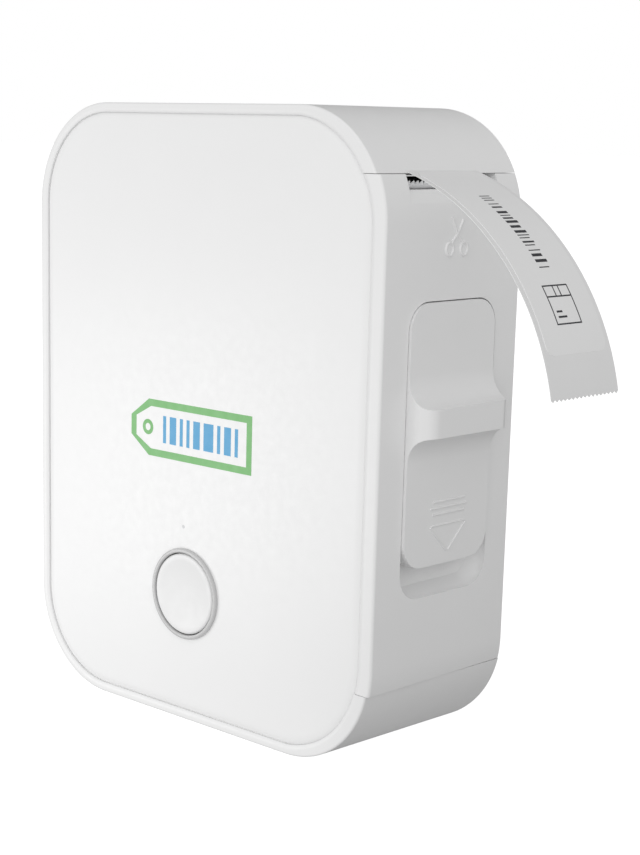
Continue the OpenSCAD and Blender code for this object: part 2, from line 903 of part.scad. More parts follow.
module motor_screws() {
    color("dimgray")
        for (dx = [-5.2, 5.2]) {
            rod_y(motor_x + dx, motor_z, 0.7, chassis_y0 - 0.05, chassis_y0 + wing_t + 1.6);
            rod_y(motor_x + dx, motor_z, 1.1, chassis_y0 - 0.4, chassis_y0);
        }
}

module motor_shaft() {
    color("silver")
        rod_y(motor_x, motor_z, 0.75, gear_y0 - 0.2, chassis_y0 + wing_t + motor_len - 3);
}

module motor_pinion() {
    color("goldenrod")
        gear(motor_x, motor_z, pinion_n, pinion_phase, 0.75);
}

module motor_leads() {
    lead_y = -8.8;
    for (i = [0:3])
        color(["orange", "yellow", "sienna", "black"][i])
            let (x0 = motor_x - 2 + 1.3 * i, x1 = 20.6 + 1.2 * i)
            wire([[x0, lead_y, motor_z - motor_r - 0.1], [x0 + 0.1, lead_y, 66.4], [x0 + 0.9, lead_y, 65.4],
                  [x1 - 0.8, lead_y, 60.6], [x1, lead_y, 59.4], [x1, lead_y - 0.6, 58.5],
                  [x1, board_y1, 58.3]], 0.35);
}

module roll_spindle() {
    color("lightgray")
        difference() {
            rod_y(roll_x, roll_z, spindle_r, chassis_y1, tape_y1 - 0.5);
            rod_y(roll_x, roll_z, spindle_r - 1.6, chassis_y1 + 1.2, tape_y1);
            for (a = [0, 90])
                translate([roll_x, tape_y1, roll_z])
                    rotate([0, a, 0])
                        cube([spindle_r * 2 + 1, 12, 1.2], center = true);
        }
}

module roll_core() {
    color("tan")
        difference() {
            rod_y(roll_x, roll_z, core_r, tape_y0, tape_y1);
            rod_y(roll_x, roll_z, spindle_r + run_fit, -20, 20);
        }
}

module label_roll() {
    color("white")
        difference() {
            rod_y(roll_x, roll_z, roll_r, tape_y0, tape_y1);
            rod_y(roll_x, roll_z, core_r, -20, 20);
        }
}

// Tape from the roll, over the guide and through the nip, up to the slot
module label_web() {
    web_r = 20.1;
    d = norm([guide_x - roll_x, guide_z - roll_z]);
    a = atan2(guide_z - roll_z, guide_x - roll_x) + acos((web_r - guide_r) / d);
    run = sqrt(d * d - pow(web_r - guide_r, 2));
    start = [roll_x + web_r * cos(a), roll_z + web_r * sin(a)];
    straight_x = 32.6;
    color("ivory")
        along_y(tape_y0, tape_y1) {
            translate(start)
                rotate(a - 90)
                    square([run, tape_t]);
            translate([guide_x, guide_z])
                intersection() {
                    difference() {
                        circle(r = guide_r + tape_t);
                        circle(r = guide_r);
                    }
                    polygon([[0, 0], [0, 9], [9 * cos(a), 9 * sin(a)]]);
                }
            translate([guide_x, nip_z])
                square([straight_x - guide_x, tape_t]);
            polygon([[straight_x, nip_z], on_strip(strip_r - liner_t, exit_a),
                     on_strip(strip_r + liner_t, exit_a), [straight_x, nip_z + tape_t]]);
        }
}

// Point at a radius from the strip's centre, at an angle from the vertical
function on_strip(r, a) = [strip_cx + r * sin(a), strip_cz + r * cos(a)];

// Part of a ring about the strip's centre, between two angles from the vertical
module strip_arc(r0, r1, a0, a1) {
    translate([strip_cx, strip_cz])
        intersection() {
            difference() {
                circle(r = r1, $fn = 360);
                circle(r = r0, $fn = 360);
            }
            polygon([[0, 0], 60 * [sin(a0), cos(a0)], 70 * [sin((a0 + a1) / 2), cos((a0 + a1) / 2)],
                     60 * [sin(a1), cos(a1)]]);
        }
}

module label_liner() {
    color("white")
        along_y(tape_y0, tape_y1)
            strip_arc(strip_r - liner_t, strip_r, exit_a, strip_a1);
}

module printed_label() {
    color("whitesmoke")
        along_y(tape_y0 + 1, tape_y1 - 1)
            strip_arc(strip_r, strip_r + liner_t, strip_a0 + 1, 69.5);
}

main_housing();
front_panel();
side_panel();
rear_cover();
hinge_pins();
case_screws();
slide_latch();
latch_bar();
latch_screws();
latch_spring();
cutter_blade();
cutter_screws();
power_button();
button_ring();
status_light_pipe();
switch_body();
switch_plunger();
chassis_plate();
chassis_screws();
main_board();
board_components();
usb_port();
head_connector();
battery_cell();
battery_cradle();
battery_leads();
mechanism_frame();
print_head();
head_heatsink();
head_springs();
head_pivot_pin();
head_flex();
tape_guide();
gap_sensor();
platen_rubber();
platen_shaft();
platen_bushes();
platen_gear();
idler_gear();
idler_pin();
motor_body();
motor_screws();
motor_shaft();
motor_pinion();
motor_leads();
roll_spindle();
roll_core();
label_roll();
label_web();
label_liner();
printed_label();
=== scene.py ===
"""Looks of a pocket thermal label printer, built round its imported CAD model."""
import json
import math
import random

import bmesh
import bpy
from mathutils import Matrix, Vector


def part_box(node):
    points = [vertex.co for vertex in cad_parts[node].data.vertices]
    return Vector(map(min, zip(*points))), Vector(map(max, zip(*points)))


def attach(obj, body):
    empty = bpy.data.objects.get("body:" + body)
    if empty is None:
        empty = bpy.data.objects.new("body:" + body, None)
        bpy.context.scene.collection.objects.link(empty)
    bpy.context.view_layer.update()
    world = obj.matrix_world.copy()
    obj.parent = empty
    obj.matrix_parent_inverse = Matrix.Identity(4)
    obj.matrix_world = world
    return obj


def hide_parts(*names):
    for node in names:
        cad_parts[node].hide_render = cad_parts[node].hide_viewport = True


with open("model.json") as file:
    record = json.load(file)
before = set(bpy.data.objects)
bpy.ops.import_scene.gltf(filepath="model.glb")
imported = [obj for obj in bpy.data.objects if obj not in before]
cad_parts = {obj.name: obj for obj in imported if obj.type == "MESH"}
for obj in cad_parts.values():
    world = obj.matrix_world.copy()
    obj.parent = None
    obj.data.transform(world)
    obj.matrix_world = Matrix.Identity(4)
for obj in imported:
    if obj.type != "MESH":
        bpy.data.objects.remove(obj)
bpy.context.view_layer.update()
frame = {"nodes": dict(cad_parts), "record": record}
scene = bpy.context.scene
NODES = frame["nodes"]
SLOTS = {part["node"]: part["material_slot"] for part in frame["record"]["subparts"]}
MM = 0.001


# ---------------------------------------------------------------- places from the frame, in mm
def box_mm(node):
    low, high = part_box(node)
    return low / MM, high / MM


housing_lo, housing_hi = box_mm("main_housing")
panel_lo, panel_hi = box_mm("front_panel")
side_lo, side_hi = box_mm("side_panel")
cover_lo, cover_hi = box_mm("rear_cover")
latch_lo, latch_hi = box_mm("slide_latch")
button_lo, button_hi = box_mm("power_button")
ring_lo, ring_hi = box_mm("button_ring")
liner_lo, liner_hi = box_mm("label_liner")
label_lo, label_hi = box_mm("printed_label")
roll_lo, roll_hi = box_mm("label_roll")

FRONT_Y = housing_lo.y
REAR_Y = housing_hi.y
LEFT_X = housing_lo.x
SIDE_X = side_hi.x
SIDE_PROUD = 0.5
RIGHT_X = SIDE_X - SIDE_PROUD
TOP_Z = housing_hi.z
WALL = 1.4
CORNER_R = 16.5
SEAM_TOP = side_hi.z + 0.15
SEAM_BOTTOM = side_lo.z - 0.15
PANEL_Y = panel_lo.y
PANEL_BACK = PANEL_Y + 1.5
SLOT_Y0, SLOT_Y1, SLOT_Z = -10.0, 10.6, 86.4
SEAM_LAP = 3.2
SEAM_GAP = 0.08
REAR_FLARE = 0.62
THROUGH_Y = 20
LATCH_BASE_X = 36.3
LATCH_LIFT = 0.42
LATCH_STEP = 0.1
POCKET_FLOOR_X = LATCH_BASE_X - 0.9
POCKET_FOOT_Z = 26.4
STROKE_R = 0.22


# ---------------------------------------------------------------- materials
def new_material(name):
    material = bpy.data.materials.new(name)
    material.use_nodes = True
    tree = material.node_tree
    return material, tree.nodes, tree.links, tree.nodes["Principled BSDF"]


def noise(nodes, links, coord, scale, detail=3.0, rough=0.55):
    node = nodes.new("ShaderNodeTexNoise")
    node.inputs["Scale"].default_value = scale
    node.inputs["Detail"].default_value = detail
    node.inputs["Roughness"].default_value = rough
    links.new(coord, node.inputs["Vector"])
    return node.outputs["Fac"]


def spread(nodes, links, value, low, high):
    node = nodes.new("ShaderNodeMapRange")
    node.inputs["From Min"].default_value = 0.3
    node.inputs["From Max"].default_value = 0.7
    node.inputs["To Min"].default_value = low
    node.inputs["To Max"].default_value = high
    links.new(value, node.inputs["Value"])
    return node.outputs["Result"]


def blend_colours(nodes, links, factor, first, second):
    node = nodes.new("ShaderNodeMix")
    node.data_type = "RGBA"
    node.inputs[6].default_value = (*first, 1)
    node.inputs[7].default_value = (*second, 1)
    links.new(factor, node.inputs[0])
    return node.outputs[2]


def surface(name, colour, rough, metallic=0.0, patch=120, patch_spread=0.03, grain=6000,
            grain_depth=0.006, stretch=(1, 1, 1), rough_spread=0.06, extra=None):
    """A moulded, drawn or printed surface: slow colour patches, fine grain, uneven gloss."""
    material, nodes, links, shader = new_material(name)
    coord = nodes.new("ShaderNodeTexCoord").outputs["Object"]
    mapping = nodes.new("ShaderNodeMapping")
    mapping.inputs["Scale"].default_value = stretch
    links.new(coord, mapping.inputs["Vector"])
    stretched = mapping.outputs["Vector"]
    patches = noise(nodes, links, coord, patch)
    dark = [c * (1 - patch_spread) for c in colour]
    light = [min(1, c * (1 + patch_spread)) for c in colour]
    tint = blend_colours(nodes, links, patches, dark, light)
    fine = noise(nodes, links, stretched, grain, 2.0)
    gloss = spread(nodes, links, noise(nodes, links, stretched, patch * 6),
                   max(0.02, rough - rough_spread), rough + rough_spread)
    height = fine
    if extra:
        tint, height = extra(nodes, links, coord, tint, fine)
    bump = nodes.new("ShaderNodeBump")
    bump.inputs["Strength"].default_value = 1.0
    bump.inputs["Distance"].default_value = grain_depth * MM
    links.new(height, bump.inputs["Height"])
    links.new(tint, shader.inputs["Base Color"])
    links.new(gloss, shader.inputs["Roughness"])
    links.new(bump.outputs["Normal"], shader.inputs["Normal"])
    shader.inputs["Metallic"].default_value = metallic
    shader.inputs["Specular IOR Level"].default_value = 0.5
    return material


def math_node(nodes, links, operation, a, b=None):
    node = nodes.new("ShaderNodeMath")
    node.operation = operation
    for socket, value in zip(node.inputs, (a, b)):
        if value is None:
            continue
        if isinstance(value, (int, float)):
            socket.default_value = value
        else:
            links.new(value, socket)
    return node.outputs["Value"]


def wound_layers(nodes, links, coord, tint, fine):
    """Concentric edges of the wound tape, seen on the roll's two faces."""
    centre = (roll_lo + roll_hi) / 2 * MM
    parts = nodes.new("ShaderNodeSeparateXYZ")
    links.new(coord, parts.inputs["Vector"])
    dx = math_node(nodes, links, "SUBTRACT", parts.outputs["X"], centre.x)
    dz = math_node(nodes, links, "SUBTRACT", parts.outputs["Z"], centre.z)
    xx = math_node(nodes, links, "MULTIPLY", dx, dx)
    zz = math_node(nodes, links, "MULTIPLY", dz, dz)
    radius = math_node(nodes, links, "SQRT", math_node(nodes, links, "ADD", xx, zz))
    phase = math_node(nodes, links, "MULTIPLY", radius, 2 * math.pi / (0.45 * MM))
    wave = math_node(nodes, links, "SINE", phase)
    wobble = math_node(nodes, links, "MULTIPLY", noise(nodes, links, coord, 900), 0.6)
    layers = math_node(nodes, links, "ADD", math_node(nodes, links, "MULTIPLY", wave, 0.3), wobble)
    mix = nodes.new("ShaderNodeMix")
    mix.data_type = "RGBA"
    mix.inputs[7].default_value = (0.62, 0.62, 0.60, 1)
    links.new(tint, mix.inputs[6])
    links.new(spread(nodes, links, layers, 0.0, 0.45), mix.inputs[0])
    return mix.outputs[2], layers


def copper_tracks(nodes, links, coord, tint, fine):
    """Faint tracks under the solder mask of the board."""
    brick = nodes.new("ShaderNodeTexVoronoi")
    brick.distance = "CHEBYCHEV"
    brick.feature = "F1"
    brick.inputs["Scale"].default_value = 260
    links.new(coord, brick.inputs["Vector"])
    scaled = math_node(nodes, links, "MULTIPLY", brick.outputs["Distance"], 9)
    lines = math_node(nodes, links, "PINGPONG", scaled, 0.5)
    mask = spread(nodes, links, lines, 0.0, 1.0)
    mix = nodes.new("ShaderNodeMix")
    mix.data_type = "RGBA"
    mix.inputs[7].default_value = (0.10, 0.38, 0.20, 1)
    links.new(tint, mix.inputs[6])
    links.new(mask, mix.inputs[0])
    return mix.outputs[2], mask


def fibres(nodes, links, coord, tint, fine):
    """Short paper fibres at two scales."""
    mapping = nodes.new("ShaderNodeMapping")
    mapping.inputs["Scale"].default_value = (1.0, 0.35, 1.0)
    links.new(coord, mapping.inputs["Vector"])
    long_fibres = noise(nodes, links, mapping.outputs["Vector"], 2600, 5.0, 0.7)
    both = math_node(nodes, links, "ADD", math_node(nodes, links, "MULTIPLY", fine, 0.4), long_fibres)
    return tint, both


WHITE = (0.80, 0.80, 0.80)
MATERIALS = {
    "white_shell": surface("white_shell", WHITE, 0.42, patch_spread=0.012, grain=9000, grain_depth=0.0035),
    "front_white": surface("front_white", (0.82, 0.82, 0.82), 0.36, patch_spread=0.010, grain=7000,
                           grain_depth=0.0020),
    "latch_white": surface("latch_white", (0.79, 0.79, 0.79), 0.40, patch_spread=0.012, grain=9000,
                           grain_depth=0.0030),
    "button_grey": surface("button_grey", (0.76, 0.76, 0.76), 0.34, patch_spread=0.012, grain=8000,
                           grain_depth=0.0020),
    "ring_grey": surface("ring_grey", (0.52, 0.52, 0.52), 0.26, patch_spread=0.02, grain=8000,
                         grain_depth=0.0015),
    "inner_plastic": surface("inner_plastic", (0.60, 0.60, 0.59), 0.55, grain=5000, grain_depth=0.008),
    "black_plastic": surface("black_plastic", (0.025, 0.025, 0.027), 0.45, grain=5000, grain_depth=0.006),
    "gear_plastic": surface("gear_plastic", (0.74, 0.71, 0.62), 0.38, grain=7000, grain_depth=0.003),
    "light_plastic": surface("light_plastic", (0.55, 0.56, 0.57), 0.25, grain=5000, grain_depth=0.002),
    "steel": surface("steel", (0.56, 0.57, 0.58), 0.30, 1.0, stretch=(0.15, 1, 1), grain=7000,
                     grain_depth=0.002, patch_spread=0.06),
    "screw_steel": surface("screw_steel", (0.16, 0.16, 0.17), 0.35, 1.0, grain=5000, grain_depth=0.003,
                           patch_spread=0.1),
    "motor_steel": surface("motor_steel", (0.60, 0.60, 0.61), 0.22, 1.0, stretch=(1, 0.12, 1), grain=6000,
                           grain_depth=0.002, patch_spread=0.05),
    "aluminium": surface("aluminium", (0.72, 0.73, 0.74), 0.38, 1.0, grain=4000, grain_depth=0.006),
    "brass": surface("brass", (0.72, 0.52, 0.22), 0.26, 1.0, grain=6000, grain_depth=0.003,
                     patch_spread=0.06),
    "ceramic": surface("ceramic", (0.05, 0.045, 0.05), 0.15, grain=3000, grain_depth=0.002),
    "platen_black": surface("platen_black", (0.03, 0.03, 0.03), 0.75, grain=4500, grain_depth=0.012),
    "board_green": surface("board_green", (0.02, 0.16, 0.08), 0.30, grain_depth=0.01, extra=copper_tracks),
    "chip_black": surface("chip_black", (0.02, 0.02, 0.022), 0.55, grain=5000, grain_depth=0.006),
    "cell_blue": surface("cell_blue", (0.03, 0.14, 0.30), 0.18, patch=60, patch_spread=0.12, grain=700,
                         grain_depth=0.03),
    "wire_red": surface("wire_red", (0.55, 0.02, 0.02), 0.35, grain=4000, grain_depth=0.003),
    "wire_mixed": surface("wire_mixed", (0.70, 0.42, 0.05), 0.35, grain=4000, grain_depth=0.003),
    "flex_amber": surface("flex_amber", (0.40, 0.17, 0.03), 0.22, stretch=(0.05, 1, 0.05), grain=1600,
                          grain_depth=0.01, patch_spread=0.15),
    # The blade's near-white, barely metallic base colour is a painted highlight: it stands in for the glint
    # on steel teeth that sit in the slot's shade.
    "blade_painted_glint": surface("blade_painted_glint", (0.86, 0.86, 0.87), 0.42, 0.15, grain=6000, grain_depth=0.02,
                           patch_spread=0.12),
    "core_card": surface("core_card", (0.46, 0.34, 0.21), 0.85, grain=3000, grain_depth=0.02,
                         patch_spread=0.1),
    "label_paper": surface("label_paper", (0.79, 0.79, 0.79), 0.50, patch_spread=0.015, grain=9000,
                           grain_depth=0.004, extra=fibres),
    "roll_paper": surface("roll_paper", (0.80, 0.80, 0.78), 0.55, patch_spread=0.02, grain=9000,
                          grain_depth=0.05, extra=wound_layers),
    "liner_paper": surface("liner_paper", (0.76, 0.76, 0.76), 0.42, patch_spread=0.02, grain=9000,
                           grain_depth=0.004, extra=fibres),
    "ink_black": surface("ink_black", (0.03, 0.03, 0.035), 0.6, grain=8000, grain_depth=0.002,
                         patch_spread=0.3),
    "ink_green": surface("ink_green", (0.19, 0.47, 0.17), 0.45, grain=8000, grain_depth=0.002,
                         patch_spread=0.05),
    "ink_blue": surface("ink_blue", (0.09, 0.36, 0.62), 0.45, grain=8000, grain_depth=0.002,
                        patch_spread=0.05),
}


# ---------------------------------------------------------------- mesh helpers, in mm
def to_object(name, mesh, body, slot, material=None, replaces=(), sharp=32):
    """Shades a mesh, places it in the row frame, in metres, and says what it is."""
    for polygon in mesh.polygons:
        polygon.use_smooth = True
    mesh.set_sharp_from_angle(angle=math.radians(sharp))
    mesh = modified(mesh, ("WEIGHTED_NORMAL", {"keep_sharp": True, "weight": 50}))
    mesh.name = name
    obj = bpy.data.objects.new(name, mesh)
    scene.collection.objects.link(obj)
    mesh.materials.clear()
    mesh.materials.append(MATERIALS[material or slot])
    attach(obj, body)
    if replaces:
        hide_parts(*replaces)
    return obj


def mesh_from(name, points, faces):
    """A mesh in metres from points in mm, with its doubles merged."""
    mesh = bpy.data.meshes.new(name)
    mesh.from_pydata([Vector(p) * MM for p in points], [], faces)
    return weld(mesh, 1e-7)


def modified(mesh, *modifiers):
    """The mesh after some modifiers, each a type and its settings."""
    obj = bpy.data.objects.new("scratch", mesh)
    scene.collection.objects.link(obj)
    for kind, settings in modifiers:
        modifier = obj.modifiers.new(kind, kind)
        for key, value in settings.items():
            setattr(modifier, key, value)
    graph = bpy.context.evaluated_depsgraph_get()
    result = bpy.data.meshes.new_from_object(obj.evaluated_get(graph))
    bpy.data.objects.remove(obj)
    return result


def carve(mesh, cutters, operation="DIFFERENCE"):
    """Boolean of a mesh with each of the cutter meshes in turn."""
    for cutter in cutters:
        other = bpy.data.objects.new("cutter", cutter)
        scene.collection.objects.link(other)
        mesh = modified(mesh, ("BOOLEAN", {"operation": operation, "object": other, "solver": "EXACT"}))
        bpy.data.objects.remove(other)
    return mesh


def soften(mesh, width, segments=3, angle=30):
    """Rounds the sharp edges of a mesh."""
    bm = bmesh.new()
    bm.from_mesh(mesh)
    bmesh.ops.remove_doubles(bm, verts=bm.verts, dist=2e-6)
    bmesh.ops.dissolve_limit(bm, angle_limit=math.radians(0.6), verts=bm.verts, edges=bm.edges)
    bm.to_mesh(mesh)
    bm.free()
    return modified(mesh, ("BEVEL", {"width": width * MM, "segments": segments, "limit_method": "ANGLE",
                                     "angle_limit": math.radians(angle), "harden_normals": False,
                                     "use_clamp_overlap": True, "miter_outer": "MITER_ARC"}))


def arc(cx, cy, r, a0, a1, steps):
    return [(cx + r * math.cos(math.radians(a0 + (a1 - a0) * i / steps)),
             cy + r * math.sin(math.radians(a0 + (a1 - a0) * i / steps))) for i in range(steps + 1)]


def rounded_loop(x0, y0, x1, y1, r, steps=16):
    """Anticlockwise rounded rectangle, as flat points."""
    return (arc(x1 - r, y0 + r, r, -90, 0, steps) + arc(x1 - r, y1 - r, r, 0, 90, steps)
            + arc(x0 + r, y1 - r, r, 90, 180, steps) + arc(x0 + r, y0 + r, r, 180, 270, steps))


def loft(name, rings, closed_ends=True):
    """Joins equal rings of points, in order, with a face over each end."""
    n = len(rings[0])
    points = [p for ring in rings for p in ring]
    faces = []
    for k in range(len(rings) - 1):
        for i in range(n):
            j = (i + 1) % n
            faces.append((k * n + i, k * n + j, (k + 1) * n + j, (k + 1) * n + i))
    if closed_ends:
        faces.append(tuple(range(n - 1, -1, -1)))
        faces.append(tuple((len(rings) - 1) * n + i for i in range(n)))
    return mesh_from(name, points, faces)


def prism(name, loop, axis, a, b):
    """A flat outline drawn out along an axis. The outline's plane is the other two axes, in order."""
    place = {"x": lambda p, t: (t, p[0], p[1]), "y": lambda p, t: (p[0], t, p[1]),
             "z": lambda p, t: (p[0], p[1], t)}[axis]
    return loft(name, [[place(p, a) for p in loop], [place(p, b) for p in loop]])


def plate_y(name, loops, y0, y1, bevel):
    """A flat plate facing front and back, with holes, and with rounded edges."""
    curve = bpy.data.curves.new(name, "CURVE")
    curve.dimensions = "2D"
    curve.fill_mode = "BOTH"
    for loop in loops:
        spline = curve.splines.new("POLY")
        spline.points.add(len(loop) - 1)
        for point, (u, v) in zip(spline.points, loop):
            point.co = (u * MM, v * MM, 0, 1)
        spline.use_cyclic_u = True
    curve.extrude = ((y1 - y0) / 2 - bevel) * MM
    curve.bevel_depth = bevel * MM
    curve.bevel_resolution = 2
    curve.offset = -bevel * MM
    obj = bpy.data.objects.new(name, curve)
    scene.collection.objects.link(obj)
    graph = bpy.context.evaluated_depsgraph_get()
    mesh = bpy.data.meshes.new_from_object(obj.evaluated_get(graph))
    bpy.data.objects.remove(obj)
    middle = (y0 + y1) / 2 * MM
    mesh.transform(Matrix(((1, 0, 0, 0), (0, 0, -1, middle), (0, 1, 0, 0), (0, 0, 0, 1))))
    return weld(mesh)


def weld(mesh, dist=2e-6):
    bm = bmesh.new()
    bm.from_mesh(mesh)
    bmesh.ops.remove_doubles(bm, verts=bm.verts, dist=dist)
    bmesh.ops.recalc_face_normals(bm, faces=bm.faces)
    bm.to_mesh(mesh)
    bm.free()
    return mesh


def circle_loop(x, z, r, steps=48):
    return [(x + r * math.cos(2 * math.pi * i / steps), z + r * math.sin(2 * math.pi * i / steps))
            for i in range(steps)]


def lathe_y(name, profile, x, z, steps=96):
    """Turns a closed profile of (radius, depth) points round an axis along Y."""
    rings = []
    for i in range(steps):
        a = 2 * math.pi * i / steps
        rings.append([(x + r * math.cos(a), y, z + r * math.sin(a)) for r, y in profile])
    n = len(profile)
    points = [p for ring in rings for p in ring]
    faces = []
    for k in range(steps):
        m = (k + 1) % steps
        for i in range(n):
            j = (i + 1) % n
            faces.append((k * n + i, k * n + j, m * n + j, m * n + i))
    return mesh_from(name, points, faces)


def combined(name, meshes):
    """Several meshes in one."""
    bm = bmesh.new()
    for mesh in meshes:
        bm.from_mesh(mesh)
    result = bpy.data.meshes.new(name)
    bm.to_mesh(result)
    bm.free()
    return result


# ---------------------------------------------------------------- case outline
def outline_points(steps=40):
    """The case outline in X and Z, anticlockwise from below the top seam to above the bottom one."""
    r = CORNER_R
    cx = RIGHT_X - CORNER_R
    high = TOP_Z - CORNER_R
    low = CORNER_R
    start = math.degrees(math.asin((SEAM_TOP - SEAM_LAP - high) / CORNER_R))
    end = -math.degrees(math.asin((low - SEAM_BOTTOM - SEAM_LAP) / CORNER_R))
    left = LEFT_X + CORNER_R
    return (arc(cx, high, r, start, 90, steps) + arc(left, high, r, 90, 180, steps)
            + arc(left, low, r, 180, 270, steps) + arc(cx, low, r, 270, 360 + end, steps))


def rim_section(outer, inner, lip, flare):
    """Wall section at one place on the outline: outer, inner and lip are points there.
    The lip is the inner edge of the rim that shows at the front; the wall flares out towards the rear."""
    edge = 0.35
    out = Vector(outer)
    width = (Vector(inner) - out).length
    inward = (Vector(inner) - out).normalized()
    lip_in = (Vector(lip) - out).length
    section = []
    for i in range(5):
        a = math.radians(90 * i / 4)
        section.append((edge * (1 - math.cos(a)), REAR_Y - edge * (1 - math.sin(a))))
    section = [(width, REAR_Y)] + [(d - flare, y) for d, y in reversed(section)]
    for i in range(5):
        a = math.radians(90 * i / 4)
        section.append((edge * (1 - math.cos(a)), FRONT_Y + edge * (1 - math.sin(a))))
    section += soft_lip(lip_in, min(0.75, 0.5 * lip_in), 0.26)
    section += [(lip_in, PANEL_BACK), (width, PANEL_BACK)]
    return [(out.x + inward.x * d, y, out.y + inward.y * d) for d, y in section]


def soft_lip(lip_in, run, drop):
    """Rounded shoulder from the rim's flat front down to the groove round the front panel."""
    return [(lip_in - run * (1 - t), FRONT_Y + drop * t ** 2.0) for t in (0.0, 0.2, 0.4, 0.6, 0.8, 1.0)]


def crossing(loop, origin, direction):
    """Where a ray from origin first meets a closed outline."""
    best = None
    o, d = Vector(origin), Vector(direction)
    for i, p in enumerate(loop):
        a, b = Vector(p), Vector(loop[(i + 1) % len(loop)])
        e = b - a
        det = d.x * -e.y + d.y * e.x
        if abs(det) < 1e-12:
            continue
        q = a - o
        t = (q.x * -e.y + q.y * e.x) / det
        s = (d.x * q.y - d.y * q.x) / det
        if t > 0 and -1e-9 <= s <= 1 + 1e-9 and (best is None or t < best):
            best = t
    return o + d * best


def inward_normals(points):
    result = []
    for i in range(len(points)):
        a = Vector(points[max(i - 1, 0)])
        b = Vector(points[min(i + 1, len(points) - 1)])
        t = (b - a).normalized()
        result.append(Vector((-t.y, t.x)))
    return result


def lip_outline(x0, z0, x1, z1, clear=0.0, steps=60):
    """Outline of the front panel: its right-hand corners are wider than its left-hand ones."""
    left, right = CORNER_R - WALL - 0.2 - clear, CORNER_R - WALL + 0.6 - clear
    return (arc(x1 - right, z0 + right, right, -90, 0, steps)
            + arc(x1 - right, z1 - right, right, 0, 90, steps)
            + arc(x0 + left, z1 - left, left, 90, 180, steps)
            + arc(x0 + left, z0 + left, left, 180, 270, steps))


lip_loop = lip_outline(panel_lo.x + 0.02, panel_lo.z + 0.02, panel_hi.x - 0.02, panel_hi.z - 0.02, 0.07)
cavity_loop = rounded_loop(LEFT_X + WALL, WALL, RIGHT_X - WALL, TOP_Z - WALL, CORNER_R - WALL, 60)


def seam_block(name, z0, z1):
    """A block over the right end of the case, between two level planes."""
    return prism(name, [(14, z0), (50, z0), (50, z1), (14, z1)], "y", -THROUGH_Y, THROUGH_Y)


def build_housing():
    outer = outline_points()
    rings = []
    for p, n in zip(outer, inward_normals(outer)):
        inner = crossing(cavity_loop, p, n)
        lip = crossing(lip_loop, p, n)
        rings.append(rim_section(p, inner, lip, REAR_FLARE * max(0.0, -n.x)))
    band = loft("housing_band", rings)
    x, y, z = usb_centre()
    oval = rounded_loop(y - 1.7, z - 4.8, y + 1.7, z + 4.8, 1.69, 12)
    mouth = prism("mouth", oval, "x", LEFT_X - 2, LEFT_X + 4)
    gap = seam_block("gap", SEAM_BOTTOM - SEAM_GAP, SEAM_TOP + SEAM_GAP)
    band = carve(band, [mouth, gap])
    to_object("housing_band", band, "printer", "white_shell", replaces=["main_housing"])
    opening = ([(cover_lo.x - 0.25, 7)] + arc(33.5 - 8, 15, 8, -90, 0, 16) + arc(33.5 - 8, 83, 8, 0, 90, 16)
               + [(cover_lo.x - 0.25, 91)])
    holes = [circle_loop(px, pz, 2.0) for px, pz in ((-24, 4.3), (24, 4.3), (-12, 94.4), (12, 94.4))]
    plate = plate_y("rear_frame", [cavity_loop, opening] + holes, cover_lo_y(), REAR_Y, 0.12)
    to_object("rear_frame", plate, "printer", "white_shell", replaces=["main_housing"])


def cover_lo_y():
    return REAR_Y - 2


def usb_centre():
    low, high = box_mm("usb_port")
    return low.x, low.y + 1.6, (low.z + high.z) / 2


def build_front_panel():
    low, high = box_mm("button_ring")
    bx, bz, br = (low.x + high.x) / 2, (low.z + high.z) / 2, (high.x - low.x) / 2
    low, high = box_mm("status_light_pipe")
    lx, lz = (low.x + high.x) / 2, (low.z + high.z) / 2
    rings = []
    for inset, y in ((0, PANEL_BACK), (0, PANEL_Y + 0.4), (0.12, PANEL_Y + 0.28), (0.35, PANEL_Y + 0.18),
                     (0.65, PANEL_Y + 0.085), (1.0, PANEL_Y + 0.025), (1.5, PANEL_Y)):
        edge = lip_outline(panel_lo.x + inset, panel_lo.z + inset, panel_hi.x - inset, panel_hi.z - inset,
                           0.05 + inset, 40)
        rings.append([(x, y, z) for x, z in edge])
    plate = loft("front_panel_skin", rings)
    plate = carve(plate, [prism("hole", circle_loop(bx, bz, br - 0.02, 96), "y", FRONT_Y - 1, PANEL_BACK + 1),
                          prism("hole", circle_loop(lx, lz, 0.3, 24), "y", FRONT_Y - 1, PANEL_BACK + 1)])
    low, high = box_mm("case_screws")
    reach, bottom, top = high.x - 1.8, low.z + 1.8, high.z - 1.8
    posts = [(-reach, bottom), (reach, bottom), (-reach / 2, top), (reach / 2, top)]
    chassis_front = box_mm("chassis_plate")[0].y
    low, high = box_mm("chassis_screws")
    bosses = [(low.x + 1.7, low.z + 1.7), (high.x - 1.7, low.z + 3.2), (low.x + 1.7, high.z - 1.7),
              (high.x - 1.7, high.z - 15.7)]
    parts = [plate]
    for spots, end in ((posts, REAR_Y - 2), (bosses, chassis_front)):
        for x, z in spots:
            profile = [(0.8, PANEL_BACK - 0.05), (2.3, PANEL_BACK - 0.05), (1.9, PANEL_BACK + 0.5),
                       (1.9, end - 0.15), (1.75, end), (0.8, end)]
            parts.append(lathe_y("post", profile, x, z, 32))
    plate = combined("front_panel_skin", parts)
    to_object("front_panel_skin", plate, "printer", "front_white", replaces=["front_panel"])


